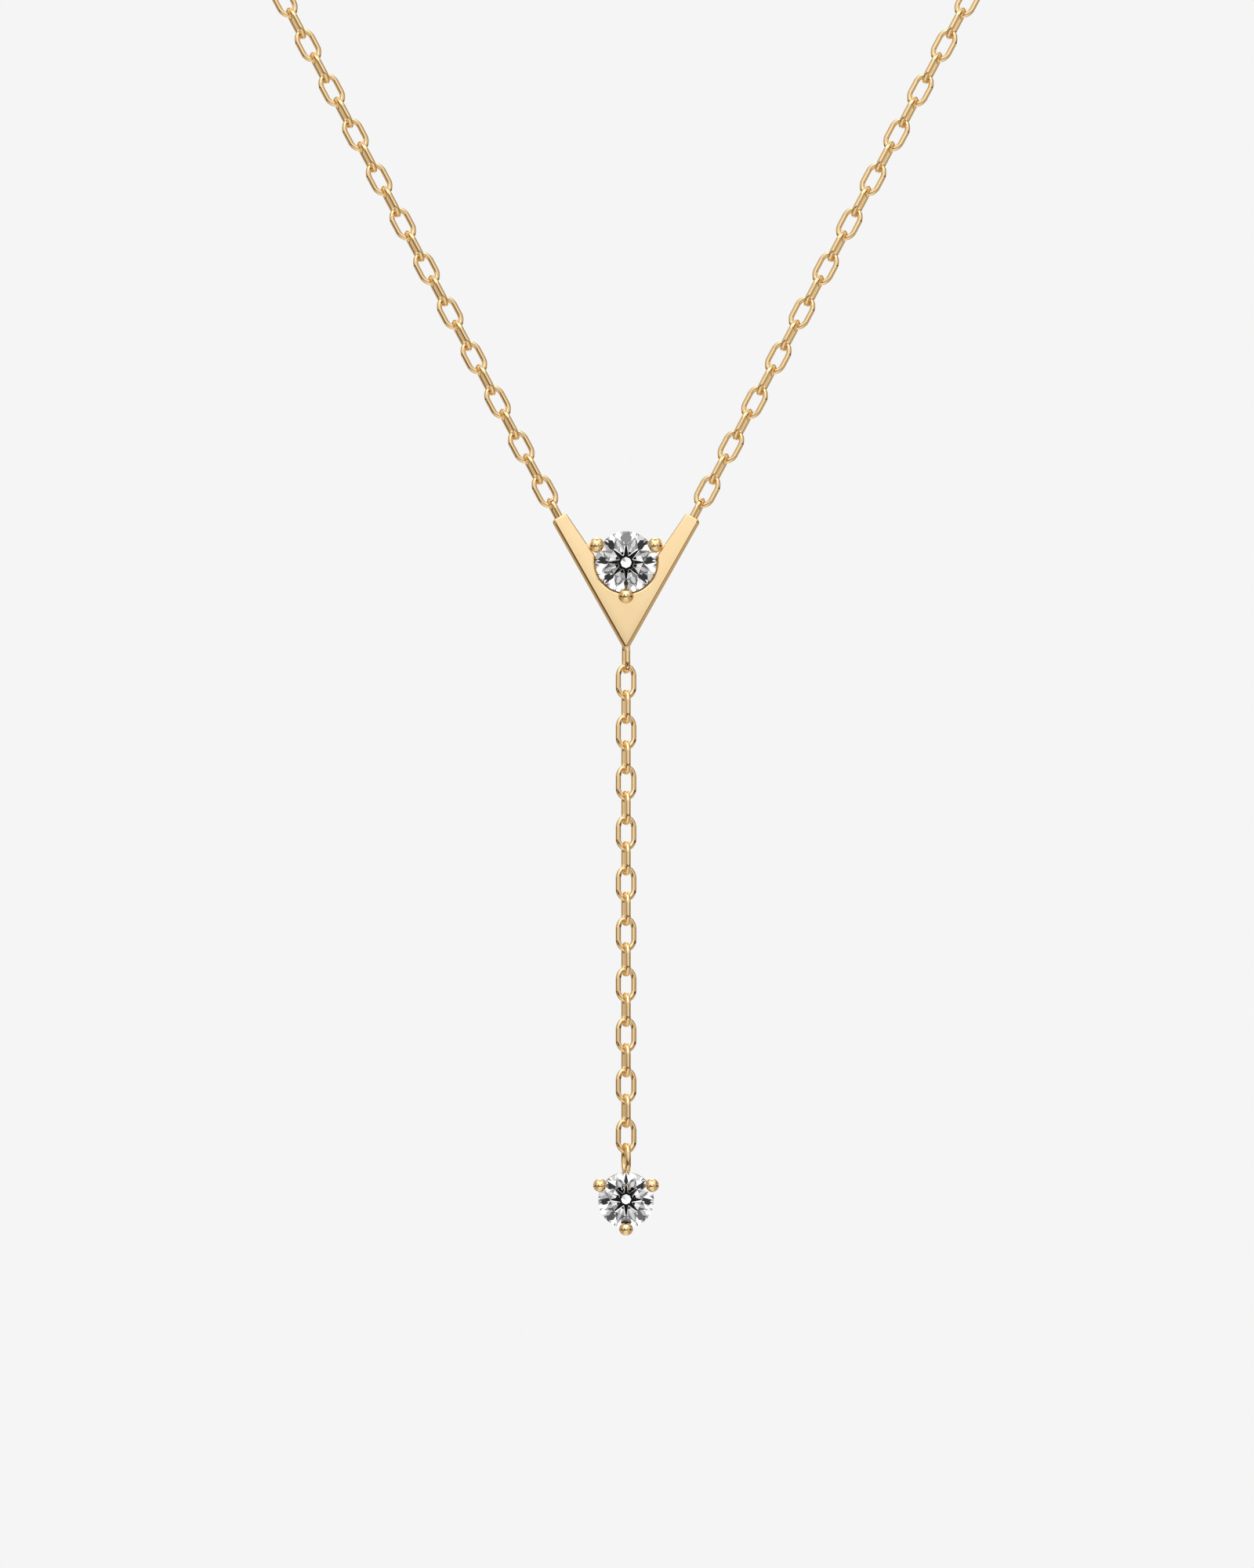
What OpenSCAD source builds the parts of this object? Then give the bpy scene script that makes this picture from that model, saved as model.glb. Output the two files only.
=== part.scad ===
/* [Chevron] */
// Width across the outer corners of the two arms
chevron_w = 7.8; // [7.2:0.1:9]
// Height from the tip to the outer corners of the arms
chevron_h = 6.65; // [6.2:0.05:8]
// Width of each arm at its cut end
arm_w = 0.86; // [0.7:0.02:1]
// Thickness of the plate from front to back
plate_t = 1.1; // [1.05:0.05:1.4]
// Chamfer along the front and back edges of the plate
plate_edge = 0.12; // [0.06:0.02:0.2]
// Angle above the level at which the arms meet the seat
seat_meet = 8; // [0:1:16]

/* [Stones] */
// Diameter of the centre stone
centre_d = 3.2; // [2.8:0.1:3.4]
// Height of the middle of the centre stone above the tip
centre_rise = 4.5; // [4.2:0.05:5]
// Depth of the centre stone's girdle below the face of the plate
centre_sink = 0.1; // [0.05:0.01:0.2]
// Diameter of the drop stone
drop_d = 2.9; // [2.4:0.1:3.4]
// Width of a table as a share of its stone's diameter
table_share = 0.57; // [0.52:0.01:0.62]
// Height of a crown as a share of its stone's diameter
crown_share = 0.155; // [0.13:0.005:0.17]
// Depth of a pavilion as a share of its stone's diameter
pavilion_share = 0.43; // [0.4:0.005:0.45]
// Thickness of a girdle as a share of its stone's diameter
girdle_share = 0.03; // [0.02:0.005:0.04]

/* [Settings] */
// Gap between a stone and the metal round it
stone_gap = 0.04; // [0.03:0.01:0.06]
// Gap between the centre stone and the rim of its seat
rim_gap = 0.06; // [0.05:0.01:0.1]
// Diameter of a prong's ball as a share of its stone's diameter
ball_share = 0.24; // [0.2:0.01:0.26]
// Distance of a ball from the stone's middle as a share of the stone's radius
ball_reach = 1.09; // [1.06:0.01:1.12]
// Thickness of the prongs
prong_d = 0.32; // [0.26:0.02:0.36]
// Thickness of the wire of the base ring behind a stone
base_wire = 0.38; // [0.36:0.02:0.46]
// Radius of the base ring as a share of the stone's radius
base_share = 0.42; // [0.38:0.02:0.5]
// Distance from a stone's girdle back to its base ring
base_depth = 1.35; // [1.3:0.05:1.5]
// Height of the middle of a ball above the stone's girdle
ball_rise = 0.06; // [0.04:0.01:0.1]
// Height of the gallery that a stone's girdle lies over
gallery_h = 0.34; // [0.28:0.02:0.4]

/* [Chain] */
// Width of a link
link_w = 1.1; // [1:0.05:1.3]
// Thickness of a link's wire
link_wire = 0.22; // [0.18:0.01:0.24]
// Distance from the middle of one link to the middle of the next
link_pitch = 1.32; // [1.2:0.02:1.5]
// Gap between the wires of two links
link_gap = 0.11; // [0.1:0.01:0.14]
// Turn of the links away from facing straight forward
link_turn = 15; // [0:1:20]
// Number of links in the drop chain
drop_links = 19; // [9:2:31]
// Number of links in each straight front strand
strand_links = 24; // [12:1:28]
// Lean of the front strands from the vertical
strand_angle = 28; // [24:1:32]
// Width of the soldered end loops
loop_w = 1; // [0.96:0.02:1.02]
// Distance of an arm's loop beyond the arm's cut end
loop_out = 0.2; // [0.1:0.05:0.4]
// Distance of the tip's loop below the tip
loop_drop = 0.42; // [0.3:0.02:0.5]

/* [Bail] */
// Thickness of the bail's wire
bail_wire = 0.28; // [0.24:0.01:0.32]
// Width of the bail from front to back
bail_w = 1.16; // [1.1:0.02:1.3]
// Length of the bail
bail_l = 1.7; // [1.6:0.05:2]
// Distance that the bail's lower end is sunk into the gallery
bail_sunk = 0.12; // [0.08:0.01:0.16]
// Distance of the drop stone's girdle in front of the bail's middle
drop_forward = 0.22; // [0.18:0.01:0.3]

/* [Clasp] */
// Diameter of the clasp
clasp_d = 5.5; // [5:0.1:6.5]
// Thickness of the clasp's barrel
barrel_d = 0.96; // [0.8:0.02:1.1]
// Thickness of the clasp's sliding bow
bow_d = 0.64; // [0.5:0.02:0.7]
// Angle that the barrel covers
barrel_sweep = 240; // [220:5:260]
// Diameter of the clasp's small loop
tag_d = 1.6; // [1.4:0.05:1.8]
// Length of the clasp's lever
lever_l = 0.7; // [0.6:0.05:0.9]
// Thickness of the small loop's wire
tag_wire = 0.4; // [0.34:0.02:0.44]
// Diameter of the ring that the clasp closes on
ring_d = 3.1; // [2.8:0.1:3.6]
// Thickness of that ring's wire
ring_wire = 0.5; // [0.4:0.02:0.6]
// Gap between the parts of the fastening
clasp_gap = 0.14; // [0.12:0.01:0.2]

/* [Neck] */
// Distance from the nape forward to the front strands
neck_depth = 110; // [106:1:114]
// Distance from the nape down to the tip of the chevron
neck_drop = 118; // [114:1:122]

/* [Hidden] */

// Points that the chain passes on its way round the neck, on the right side as seen from the front
neck_route = [[34, -107, -55], [46, -91, -33], [52, -62, -16], [45, -29, -6], [26, -7, -1]];
route_steps = 6;
guide_l = 30;
tube_sides = 8;

// Corners of a link's middle line, as shares of its half width and half length
link_corner = [[1, 0.53], [0.72, 0.84], [0.33, 1]];
wire_sides = 6;
stations = 4 * len(link_corner);
prong_angles = [30, 150, 270];
gallery_inner = 0.78;
lever_angle = 68;
round_fn = 48;
cut_extra = 0.01;

// Reach of the star facets and of the lower halves, as shares of the way inwards
star_reach = 0.46;
lower_reach = 0.23;
half_facet = 22.5;

gold = [0.93, 0.79, 0.55];
clear = [0.9, 0.92, 0.94];

link_l = link_pitch + 2 * link_wire + link_gap;
tip = [0, -neck_depth, -neck_drop];
arm_angle = atan(chevron_w / 2 / chevron_h);
outer_corner = [chevron_w / 2, chevron_h];
inner_corner = outer_corner + arm_w * [-cos(arm_angle), sin(arm_angle)];
seat_r = centre_d / 2 + rim_gap;
seat_overlap = 0.1;
meet_r = seat_r - seat_overlap;
meet_corner = [meet_r * cos(seat_meet), centre_rise + meet_r * sin(seat_meet)];
centre_z = plate_t / 2 - centre_sink;

strand_dir = [sin(strand_angle), 0, cos(strand_angle)];
arm_end = (outer_corner + inner_corner) / 2;
arm_loop = tip + [arm_end[0], 0, arm_end[1]] + loop_out * strand_dir;
strand_l = strand_links * link_pitch + link_l / 2 + link_gap;
tip_loop = tip - [0, 0, loop_drop];
last_link = tip_loop - [0, 0, drop_links * link_pitch];
bail_top = last_link[2] - link_l / 2 + link_wire + link_gap + bail_wire;
bail_at = [0, -neck_depth, bail_top - bail_l / 2];
bail_rise = drop_d / 2 - bail_sunk + bail_l / 2;
drop_at = bail_at - [0, 0, bail_rise];

clasp_r = (clasp_d - barrel_d) / 2;
ring_r = (ring_d - ring_wire) / 2;
tag_r = (tag_d - tag_wire) / 2;
back_y = ring_d / 2;
ring_x = ring_r - ring_wire / 2 - bow_d / 2 - clasp_gap;
tag_x = -clasp_r - clasp_d / 2 - tag_r + tag_wire / 4;
left_end = tag_x - tag_d / 2 - clasp_gap;
right_end = ring_x + ring_d / 2 + clasp_gap;

function unit(v) = v / norm(v);
function mirrored(p, side) = [side * p[0], p[1], p[2]];
function turned(front, along, angle) = cos(angle) * front + sin(angle) * cross(along, front);
function flat(lists) = [for (l = lists) each l];

// Middle line of a link, one turn of stations
function quarter(w, l, sx, sy) = [for (c = link_corner) [sx * c[0] * w / 2, sy * c[1] * l / 2]];
function reversed(v) = [for (i = [len(v) - 1:-1:0]) v[i]];
function link_line(w, l) = concat(quarter(w, l, 1, 1), reversed(quarter(w, l, -1, 1)),
                                  quarter(w, l, -1, -1), reversed(quarter(w, l, 1, -1)));

// Outward direction at a corner of a closed line, lengthened so that the sides stay parallel
function edge_normal(a, b) = [b[1] - a[1], a[0] - b[0]] / norm(b - a);
function corner_out(line, i) =
    let (n = len(line), p = edge_normal(line[(i + n - 1) % n], line[i]),
         q = edge_normal(line[i], line[(i + 1) % n]))
    (p + q) / (1 + p * q);

// Points of one link, whose width runs along across and whose length runs along along
function link_points(at, along, across, w, l, wire) =
    let (line = link_line(w - wire, l - wire), normal = cross(along, across))
    [for (i = [0:stations - 1], k = [0:wire_sides - 1])
        let (out = corner_out(line, i), c = cos(k * 360 / wire_sides) * wire / 2,
             p = line[i] + c * out)
        at + p[0] * across + p[1] * along + sin(k * 360 / wire_sides) * wire / 2 * normal];

function link_faces(first) =
    [for (i = [0:stations - 1], k = [0:wire_sides - 1])
        let (j = (i + 1) % stations, m = (k + 1) % wire_sides)
        [first + i * wire_sides + k, first + j * wire_sides + k,
         first + j * wire_sides + m, first + i * wire_sides + m]];

// Loose links in a row from start, each turned a quarter from the one before
module links(start, along, front, turn, count) {
    points = flat([for (i = [1:count])
        link_points(start + i * link_pitch * along, along,
                    turned(front, along, turn + (i % 2) * 90), link_w, link_l, link_wire)]);
    faces = flat([for (i = [0:count - 1]) link_faces(i * stations * wire_sides)]);
    polyhedron(points, faces);
}

module loop(at, along, across, w, l, wire) {
    polyhedron(link_points(at, along, across, w, l, wire), link_faces(0));
}

// Smooth curve through a list of points, with a point before its first and after its last
function between(p, t) =
    p[1] + t / 2 * (p[2] - p[0]) + t * t / 2 * (2 * p[0] - 5 * p[1] + 4 * p[2] - p[3])
    + t * t * t / 2 * (3 * p[1] - p[0] - 3 * p[2] + p[3]);
function smooth(p) =
    concat([for (i = [1:len(p) - 3], s = [0:route_steps - 1])
               between([p[i - 1], p[i], p[i + 1], p[i + 2]], s / route_steps)],
           [p[len(p) - 2]]);

function neck_line(side, end_x) =
    let (start = arm_loop + strand_l * strand_dir, lead = start - guide_l * strand_dir,
         stop = [end_x * side, back_y, 0], past = stop - [guide_l, 0, 0])
    [for (p = smooth(concat([lead, start], neck_route, [stop, past]))) mirrored(p, side)];

function line_dir(line, i) = unit(line[min(i + 1, len(line) - 1)] - line[max(i - 1, 0)]);

// Round tube along a line, with flat ends
module tube(line, d) {
    n = len(line);
    points = [for (i = [0:n - 1], k = [0:tube_sides - 1])
        let (dir = line_dir(line, i), side = unit(cross(dir, [0, 0, 1])), up = cross(side, dir),
             a = k * 360 / tube_sides)
        line[i] + d / 2 * (cos(a) * side + sin(a) * up)];
    walls = [for (i = [0:n - 2], k = [0:tube_sides - 1])
        let (a = i * tube_sides, b = a + tube_sides, m = (k + 1) % tube_sides)
        each [[a + k, a + m, b + m], [a + k, b + m, b + k]]];
    first = [for (k = [tube_sides - 1:-1:0]) k];
    last = [for (k = [0:tube_sides - 1]) (n - 1) * tube_sides + k];
    polyhedron(points, concat([first], walls, [last]));
}

// Sizes of a brilliant cut, measured from the middle of its girdle
function table_r(d) = table_share * d / 2;
function crown_h(d) = crown_share * d;
function half_girdle(d) = girdle_share * d / 2;
function pavilion_h(d) = pavilion_share * d;
function star_r(d) = table_r(d) + star_reach * (d / 2 - table_r(d));
function star_h(d) =
    half_girdle(d) + crown_h(d) * (d / 2 - star_r(d) * cos(half_facet)) / (d / 2 - table_r(d));
function lower_r(d) = lower_reach * d / 2;
function lower_h(d) = -half_girdle(d) - pavilion_h(d) * (1 - lower_r(d) * cos(half_facet) / (d / 2));
function ring_of(n, r, z, first) =
    [for (i = [0:n - 1], a = first + i * 360 / n) [r * cos(a), r * sin(a), z]];

// Round brilliant with its table towards the positive third axis
module brilliant(d) {
    points = concat([[0, 0, -half_girdle(d) - pavilion_h(d)]],
                    ring_of(8, lower_r(d), lower_h(d), half_facet),
                    ring_of(16, d / 2, -half_girdle(d), 0),
                    ring_of(16, d / 2, half_girdle(d), 0),
                    ring_of(8, star_r(d), star_h(d), half_facet),
                    ring_of(8, table_r(d), half_girdle(d) + crown_h(d), 0));
    low = 1;
    under = 9;
    over = 25;
    star = 41;
    top = 49;
    table = [[for (i = [7:-1:0]) top + i]];
    stars = [for (i = [0:7]) [top + i, top + (i + 1) % 8, star + i]];
    kites = [for (i = [0:7]) [top + i, star + i, over + 2 * i, star + (i + 7) % 8]];
    uppers = [for (i = [0:7]) each [[star + i, over + 2 * i + 1, over + 2 * i],
                                    [star + i, over + (2 * i + 2) % 16, over + 2 * i + 1]]];
    girdle = [for (i = [0:15]) [over + i, over + (i + 1) % 16, under + (i + 1) % 16, under + i]];
    lowers = [for (i = [0:7]) each [[low + i, under + 2 * i, under + 2 * i + 1],
                                    [low + i, under + 2 * i + 1, under + (2 * i + 2) % 16]]];
    mains = [for (i = [0:7]) [0, low + (i + 7) % 8, under + 2 * i, low + i]];
    polyhedron(points, concat(table, stars, kites, uppers, girdle, lowers, mains));
}

// Room that a stone takes in its setting, open to the front only as far as its table
module stone_room(d) {
    g = stone_gap;
    h = half_girdle(d) + g;
    rotate_extrude($fn = round_fn)
        polygon([[0, -h - pavilion_h(d)], [d / 2 + g, -h], [d / 2 + g, h],
                 [star_r(d) + g, star_h(d) + g], [table_r(d) + g, h + crown_h(d)], [0, h + crown_h(d)]]);
}

module bar(a, b, d) {
    v = b - a;
    translate(a)
        rotate([0, acos(v[2] / norm(v)), atan2(v[1], v[0])])
            cylinder(h = norm(v), d = d, $fn = round_fn);
}

module torus(r, wire) {
    rotate_extrude($fn = round_fn)
        translate([r, 0]) circle(d = wire, $fn = round_fn);
}

// Basket of one stone: gallery, base ring and three prongs that end in balls
module basket(d, gallery_r) {
    ball_r = ball_reach * d / 2;
    ball_z = half_girdle(d) + ball_rise;
    base_r = base_share * d / 2;
    gallery_top = -half_girdle(d);
    translate([0, 0, gallery_top - gallery_h])
        rotate_extrude($fn = round_fn)
            polygon([[gallery_inner * d / 2, 0], [gallery_r, 0], [gallery_r, gallery_h],
                     [gallery_inner * d / 2, gallery_h]]);
    translate([0, 0, -base_depth]) torus(base_r, base_wire);
    for (a = prong_angles)
        rotate([0, 0, a]) {
            bar([base_r, 0, -base_depth], [ball_r, 0, ball_z], prong_d);
            translate([ball_r, 0, ball_z]) sphere(d = ball_share * d, $fn = round_fn);
        }
}

function inset(line, by) = [for (i = [0:len(line) - 1]) line[i] - by * corner_out(line, i)];
function layer(line, z) = [for (p = line) [p[0], p[1], z]];

module plate() {
    right = [outer_corner, inner_corner, meet_corner];
    line = concat([[0, 0]], right, [for (p = reversed(right)) [-p[0], p[1]]]);
    small = inset(line, plate_edge);
    n = len(line);
    half = plate_t / 2;
    points = concat(layer(small, -half), layer(line, plate_edge - half),
                    layer(line, half - plate_edge), layer(small, half));
    back = [for (i = [0:n - 1]) i];
    front = [for (i = [n:-1:1]) 3 * n + i % n];
    walls = [for (k = [0:2], i = [0:n - 1])
        [k * n + i, (k + 1) * n + i, (k + 1) * n + (i + 1) % n, k * n + (i + 1) % n]];
    polyhedron(points, concat([back], walls, [front]));
}

module chevron() {
    bore = plate_t + cut_extra;
    color(gold) {
        translate(tip)
            rotate([90, 0, 0])
                difference() {
                    union() {
                        difference() {
                            plate();
                            translate([0, centre_rise, -bore])
                                cylinder(h = 2 * bore, r = gallery_inner * centre_d / 2 + seat_overlap,
                                         $fn = round_fn);
                            translate([0, centre_rise, centre_z - half_girdle(centre_d) - gallery_h / 2])
                                cylinder(h = bore, r = seat_r, $fn = round_fn);
                        }
                        translate([0, centre_rise, centre_z])
                            basket(centre_d, centre_d / 2 - stone_gap);
                    }
                    translate([0, centre_rise, centre_z]) stone_room(centre_d);
                }
        loop(tip_loop, [0, 0, 1], turned([0, -1, 0], [0, 0, 1], link_turn), loop_w, link_l, link_wire);
        for (side = [-1, 1]) {
            dir = mirrored(strand_dir, side);
            loop(mirrored(arm_loop, side), dir, turned([0, -1, 0], dir, -side * link_turn),
                 loop_w, link_l, link_wire);
        }
    }
}

module centre_stone() {
    color(clear)
        translate(tip)
            rotate([90, 0, 0])
                translate([0, centre_rise, centre_z]) brilliant(centre_d);
}

module drop_chain() {
    color(gold) links(tip_loop, [0, 0, -1], [0, -1, 0], -link_turn, drop_links);
}

// Basket of the drop, with its bail soldered on at the top
module drop_setting() {
    color(gold)
        translate(drop_at)
            rotate([90, 0, 0])
                difference() {
                    union() {
                        translate([0, 0, drop_forward]) basket(drop_d, drop_d / 2);
                        loop([0, bail_rise, 0], [0, 1, 0], turned([0, 0, 1], [0, 1, 0], link_turn),
                             bail_w, bail_l, bail_wire);
                    }
                    translate([0, 0, drop_forward]) stone_room(drop_d);
                }
}

module drop_stone() {
    color(clear)
        translate(drop_at)
            rotate([90, 0, 0])
                translate([0, 0, drop_forward]) brilliant(drop_d);
}

module neck_links(side) {
    color(gold)
        links(mirrored(arm_loop, side), mirrored(strand_dir, side), [0, -1, 0],
              -side * link_turn, strand_links);
}

module neck_links_left() {
    neck_links(-1);
}

module neck_links_right() {
    neck_links(1);
}

module neck_chain_left() {
    color(gold) tube(neck_line(-1, left_end), link_w);
}

module neck_chain_right() {
    color(gold) tube(neck_line(1, right_end), link_w);
}

// Spring ring with its small loop, standing flat against the back of the neck
module clasp() {
    color(gold)
        translate([-clasp_r, back_y, 0])
            rotate([90, 0, 0]) {
                torus(clasp_r, bow_d);
                rotate([0, 0, 180 - barrel_sweep / 2])
                    rotate_extrude(angle = barrel_sweep, $fn = round_fn)
                        translate([clasp_r, 0]) circle(d = barrel_d, $fn = round_fn);
                translate([tag_x + clasp_r, 0, 0]) torus(tag_r, tag_wire);
                rotate([0, 0, lever_angle])
                    bar([clasp_r, 0, 0], [clasp_r + lever_l, 0, 0], bow_d / 2);
            }
}

module end_ring() {
    color(gold) translate([ring_x, back_y, 0]) torus(ring_r, ring_wire);
}

chevron();
centre_stone();
drop_chain();
drop_setting();
drop_stone();
neck_links_left();
neck_links_right();
neck_chain_left();
neck_chain_right();
clasp();
end_ring();
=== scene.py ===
import math

import bpy
from mathutils import Matrix, Vector


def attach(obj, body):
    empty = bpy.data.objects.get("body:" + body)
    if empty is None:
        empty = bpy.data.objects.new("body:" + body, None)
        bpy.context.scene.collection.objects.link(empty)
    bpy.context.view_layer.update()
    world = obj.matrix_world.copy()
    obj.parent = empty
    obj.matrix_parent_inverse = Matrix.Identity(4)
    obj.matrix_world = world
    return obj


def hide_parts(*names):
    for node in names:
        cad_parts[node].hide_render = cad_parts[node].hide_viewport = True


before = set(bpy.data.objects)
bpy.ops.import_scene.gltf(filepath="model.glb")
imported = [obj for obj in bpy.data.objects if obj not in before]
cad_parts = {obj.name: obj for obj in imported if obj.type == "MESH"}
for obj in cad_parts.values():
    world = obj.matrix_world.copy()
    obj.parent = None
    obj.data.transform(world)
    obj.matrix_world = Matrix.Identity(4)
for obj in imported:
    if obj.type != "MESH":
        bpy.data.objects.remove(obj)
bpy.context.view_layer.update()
scene = bpy.context.scene
print("frame loaded")

# Pieces are modelled in millimetres and scaled to metres when they are finished
millimetre = 0.001
mergeDistance = 0.00002

# Places that the pieces share, in millimetres
places = {
    "tip": Vector((0, -110, -118)),      # lowest point of the V plate
    "strandAngle": 28,                   # lean of the front strands, degrees
    "linkTurn": 15,                      # turn of the links away from facing forward
    "armLoop": Vector((3.6229, -110, -110.956)),      # middle of the right arm's soldered loop
    "loopDrop": 0.42,                    # middle of the tip's loop below the tip
    "linkPitch": 1.32,                   # from one link's middle to the next
    "strandLinks": 24,
    "dropLinks": 19,
    "nape": 1.55,                        # depth of the fastening behind the nape's point
    "prongAngles": (30, 150, 270),
}


# Selection and finishing helpers

def clearSelection():
    if bpy.context.object and bpy.context.object.mode != "OBJECT":
        bpy.ops.object.mode_set(mode="OBJECT")
    bpy.ops.object.select_all(action="DESELECT")


def makeActive(piece):
    clearSelection()
    piece.select_set(True)
    bpy.context.view_layer.objects.active = piece


def pick(piece, kind, test):
    bpy.ops.object.mode_set(mode="EDIT")
    bpy.ops.mesh.select_mode(type={"vertices": "VERT", "edges": "EDGE", "polygons": "FACE"}[kind])
    bpy.ops.mesh.select_all(action="DESELECT")
    bpy.ops.object.mode_set(mode="OBJECT")
    for item in getattr(piece.data, kind):
        item.select = bool(test(item))
    bpy.ops.object.mode_set(mode="EDIT")


def edgeEnds(piece, edge):
    return [piece.data.vertices[index].co for index in edge.vertices]


def cleanUp(piece):
    makeActive(piece)
    bpy.ops.object.mode_set(mode="EDIT")
    bpy.ops.mesh.select_all(action="SELECT")
    bpy.ops.mesh.remove_doubles(threshold=mergeDistance)
    bpy.ops.mesh.normals_make_consistent(inside=False)
    bpy.ops.object.mode_set(mode="OBJECT")


def drawOutline(name, points, fill="NOTHING"):
    clearSelection()
    bpy.ops.mesh.primitive_circle_add(vertices=len(points), radius=1, fill_type=fill)
    piece = bpy.context.object
    piece.name = name
    for vertex, point in zip(piece.data.vertices, points):
        vertex.co = point
    return piece


def turnProfile(name, profile, steps, closed=False, angle=360):
    piece = drawOutline(name, [(radius, 0, height) for radius, height in profile])
    last = len(profile) - 1
    if not closed:
        pick(piece, "edges", lambda edge: set(edge.vertices) == {0, last})
        bpy.ops.mesh.delete(type="EDGE_FACE")
    bpy.ops.object.mode_set(mode="EDIT")
    bpy.ops.mesh.select_all(action="SELECT")
    bpy.ops.mesh.spin(steps=steps, angle=math.radians(angle), center=(0, 0, 0), axis=(0, 0, 1))
    bpy.ops.mesh.select_all(action="SELECT")
    bpy.ops.mesh.remove_doubles(threshold=mergeDistance)
    bpy.ops.mesh.select_all(action="SELECT")
    if closed and angle < 360:
        bpy.ops.mesh.fill_holes(sides=0)
        bpy.ops.mesh.select_all(action="SELECT")
    bpy.ops.mesh.normals_make_consistent(inside=False)
    bpy.ops.object.mode_set(mode="OBJECT")
    return piece


def bendWire(name, points, wire, sides, rounding=0, roundSteps=2, firstCorner=0.5):
    # a closed line of wire: the outline becomes a curve with a bevel
    piece = drawOutline(name, points)
    if rounding:
        bpy.ops.object.mode_set(mode="EDIT")
        bpy.ops.mesh.select_all(action="SELECT")
        bpy.ops.mesh.bevel(offset=rounding, segments=roundSteps, affect="VERTICES")
        bpy.ops.object.mode_set(mode="OBJECT")
    bpy.ops.object.convert(target="CURVE")
    piece = bpy.context.object
    clearSelection()
    bpy.ops.curve.primitive_bezier_circle_add(radius=1)
    section = bpy.context.object
    spline = section.data.splines.new("POLY")
    spline.points.add(sides - 1)
    grow = 1 / math.cos(math.pi / sides)
    for index, point in enumerate(spline.points):
        turn = 2 * math.pi * (index + firstCorner) / sides
        point.co = (wire / 2 * grow * math.cos(turn), wire / 2 * grow * math.sin(turn), 0, 1)
    spline.use_cyclic_u = True
    section.data.splines.remove(section.data.splines[0])
    makeActive(piece)
    piece.data.twist_mode = "Z_UP"
    piece.data.bevel_mode = "OBJECT"
    piece.data.bevel_object = section
    bpy.ops.object.convert(target="MESH")
    bpy.data.objects.remove(section)
    piece = bpy.context.object
    piece.name = name
    cleanUp(piece)
    return piece


def combine(piece, other, operation):
    makeActive(piece)
    change = piece.modifiers.new("combine", "BOOLEAN")
    change.object = other
    change.operation = operation
    change.solver = "EXACT"
    bpy.ops.object.modifier_apply(modifier=change.name)
    bpy.data.objects.remove(other)


def placedCopy(piece, place):
    twin = piece.copy()
    twin.data = piece.data.copy()
    scene.collection.objects.link(twin)
    twin.data.transform(place)
    return twin


def joinAll(name, members):
    clearSelection()
    for member in members:
        member.select_set(True)
    bpy.context.view_layer.objects.active = members[0]
    bpy.ops.object.join()
    piece = bpy.context.object
    piece.name = name
    return piece


def giveMaterials(piece, *materials):
    piece.data.materials.clear()
    for material in materials:
        piece.data.materials.append(material)


def weighNormals(piece, mode, weight, byStrength=False):
    weights = piece.modifiers.new("weights", "WEIGHTED_NORMAL")
    weights.mode = mode
    weights.weight = weight
    weights.keep_sharp = True
    weights.use_face_influence = byStrength
    bpy.ops.object.modifier_apply(modifier=weights.name)


def shadeSmooth(piece, angle):
    # broad faces keep their own direction, and the eased edges between them turn
    makeActive(piece)
    bpy.ops.object.shade_smooth_by_angle(angle=math.radians(angle))
    weighNormals(piece, "FACE_AREA", 80)


def easeEdges(piece, width, segments, angle, clamp=True):
    makeActive(piece)
    soften = piece.modifiers.new("soften", "BEVEL")
    soften.use_clamp_overlap = clamp
    soften.width = width
    soften.segments = segments
    soften.limit_method = "ANGLE"
    soften.angle_limit = math.radians(angle)
    bpy.ops.object.modifier_apply(modifier=soften.name)


def settle(piece, place=None):
    # the place goes into the mesh, so that the object stays at the origin
    makeActive(piece)
    whole = Matrix.Scale(millimetre, 4) @ (place or Matrix.Identity(4))
    piece.data.transform(whole)
    piece.matrix_world = Matrix.Identity(4)
    piece.data.update()


def settleInPlace(piece):
    piece.data.transform(piece.matrix_world)
    piece.matrix_world = Matrix.Identity(4)


def handOver(piece, body, nodes):
    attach(piece, body)
    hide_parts(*nodes)
    print(piece.name, len(piece.data.polygons), "faces")


def axes(at, across, along):
    # across, along and their cross product become the piece's own x, y and z
    away = across.cross(along)
    return Matrix.Translation(at) @ Matrix((across, along, away)).transposed().to_4x4()


def turned(front, along, degrees):
    angle = math.radians(degrees)
    return math.cos(angle) * front + math.sin(angle) * along.cross(front)


def facing(at):
    # a setting is modelled with its front towards z and stands with its front towards -y
    return Matrix.Translation(at) @ Matrix.Rotation(math.radians(90), 4, "X")


# Materials

def addNode(tree, kind, **values):
    node = tree.nodes.new(kind)
    for key, value in values.items():
        setattr(node, key, value)
    return node


def addNoise(tree, place, scale, detail=3, roughness=0.5, distortion=0):
    noise = addNode(tree, "ShaderNodeTexNoise")
    noise.inputs["Scale"].default_value = scale
    noise.inputs["Detail"].default_value = detail
    noise.inputs["Roughness"].default_value = roughness
    noise.inputs["Distortion"].default_value = distortion
    tree.links.new(place, noise.inputs["Vector"])
    return noise.outputs["Fac"]


def addRange(tree, value, low, high, toLow, toHigh):
    change = addNode(tree, "ShaderNodeMapRange")
    for index, number in enumerate((low, high, toLow, toHigh)):
        change.inputs[index + 1].default_value = number
    tree.links.new(value, change.inputs[0])
    return change.outputs[0]


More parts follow.
